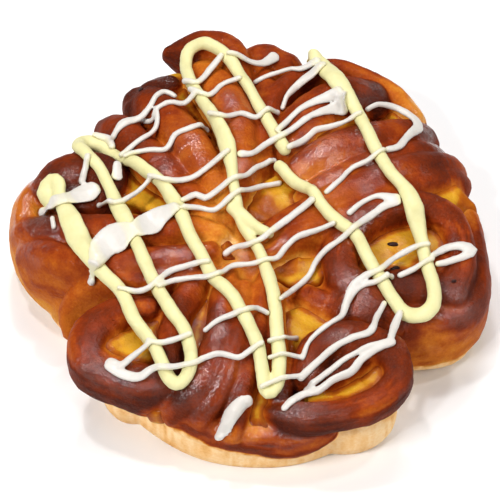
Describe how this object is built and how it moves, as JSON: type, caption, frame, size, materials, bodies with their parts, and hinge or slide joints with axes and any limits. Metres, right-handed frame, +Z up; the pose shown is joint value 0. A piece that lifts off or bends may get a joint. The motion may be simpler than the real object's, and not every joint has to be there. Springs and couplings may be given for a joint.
{
  "type": "sweet twist bread",
  "caption": "Flat round sweet bread of folded and coiled dough strips with custard in the folds, egg-washed and browned, with piped yellow and white icing.",
  "frame": {"origin": "middle of the underside, at the centre of the overall box on the floor", "axes": "+Z up through the top of the bread, the shortest extent; -Y towards the two front coils, +X towards the large right coil"},
  "size_m": [0.1306, 0.1344, 0.0382],
  "materials": {
    "baked_dough": "egg-washed crust, glossy and slightly pitted, mahogany on the crests, golden in the folds and pale at the foot",
    "custard": "wet glossy baked custard with a bumpy skin",
    "yellow_icing": "satin set icing, piped",
    "white_icing": "satin set icing, piped thin"
  },
  "bodies": {
    "root": {"bread": "baked_dough", "custard_back_coil": "custard", "custard_back_end": "custard", "custard_front_gap": "custard", "custard_front_left_coil": "custard", "custard_front_left_gap": "custard", "custard_front_right_coil": "custard", "custard_front_right_gap": "custard", "custard_hub_back": "custard", "custard_hub_left": "custard", "custard_hub_right": "custard", "custard_left_back": "custard", "custard_left_end": "custard", "custard_right_back": "custard", "custard_right_coil": "custard", "custard_right_end": "custard", "custard_top_gap": "custard"}
  },
  "joints": []
}
